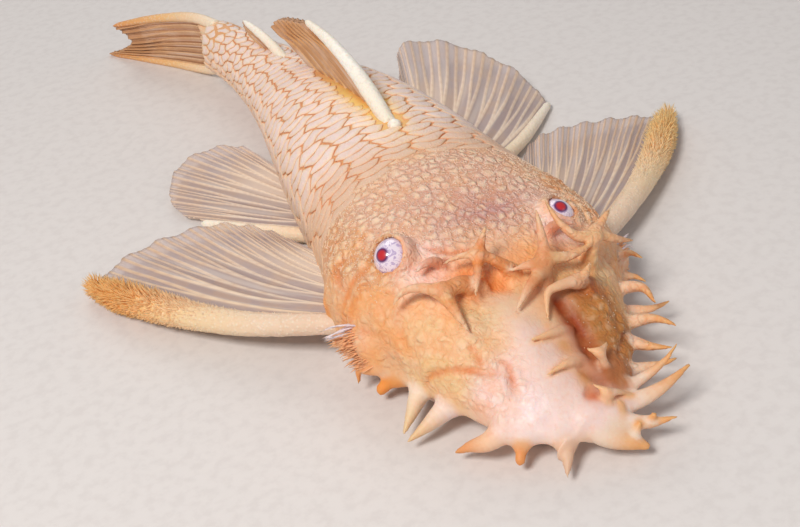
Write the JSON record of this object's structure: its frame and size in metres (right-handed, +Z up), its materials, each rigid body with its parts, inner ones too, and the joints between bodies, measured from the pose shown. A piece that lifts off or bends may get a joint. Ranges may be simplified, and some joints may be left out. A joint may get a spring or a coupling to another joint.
{
  "type": "bristlenose pleco",
  "caption": "Adult albino male bristlenose pleco resting on its belly, armoured body and tail curved to one side, fins spread, branched feelers on the snout. Still, life-size.",
  "frame": {"origin": "on the floor, under the middle of the flat of the belly, a third of the way back from the snout", "axes": "+Y runs from the snout towards the tail, +X to the fish's left, +Z up"},
  "size_m": [0.0796, 0.1261, 0.0209],
  "materials": {
    "skin": "moist pale pink to orange skin, fine granules",
    "plates": "pinkish cream bony plates with rose lines between them, satin",
    "bristle": "soft translucent tan, moist",
    "fin": "thin clear membrane over branching orange rays",
    "spine": "cream bony spine with rows of small teeth",
    "odontode": "orange to amber hooked spines",
    "eye": "wet, pale violet iris and red pupil",
    "mouth": "soft pale lips covered with small bumps"
  },
  "bodies": {
    "root": {"adipose_fin": "fin", "anal_fin": "fin", "barbel_left": "bristle", "barbel_right": "bristle", "bristle_left_inner": "bristle", "bristle_left_outer": "bristle", "bristle_lower": "bristle", "bristle_lower_single": "bristle", "bristle_middle": "bristle", "bristle_middle_single": "bristle", "bristle_middle_upper": "bristle", "bristle_right_inner": "bristle", "bristle_right_outer": "bristle", "bristle_tip": "bristle", "caudal_fin": "fin", "cheek_spines_left": "odontode", "cheek_spines_right": "odontode", "dorsal_fan": "fin", "dorsal_spine": "spine", "eye_left": "eye", "eye_right": "eye", "head": "skin", "mouth_disc": "mouth", "pectoral_left_fan": "fin", "pectoral_left_spine": "spine", "pectoral_right_fan": "fin", "pectoral_right_spine": "spine", "pelvic_left_fan": "fin", "pelvic_left_spine": "spine", "pelvic_right_fan": "fin", "pelvic_right_spine": "spine", "snout": "skin", "tail_front": "plates", "tail_rear": "plates", "trunk_front": "plates", "trunk_rear": "plates"}
  },
  "joints": []
}
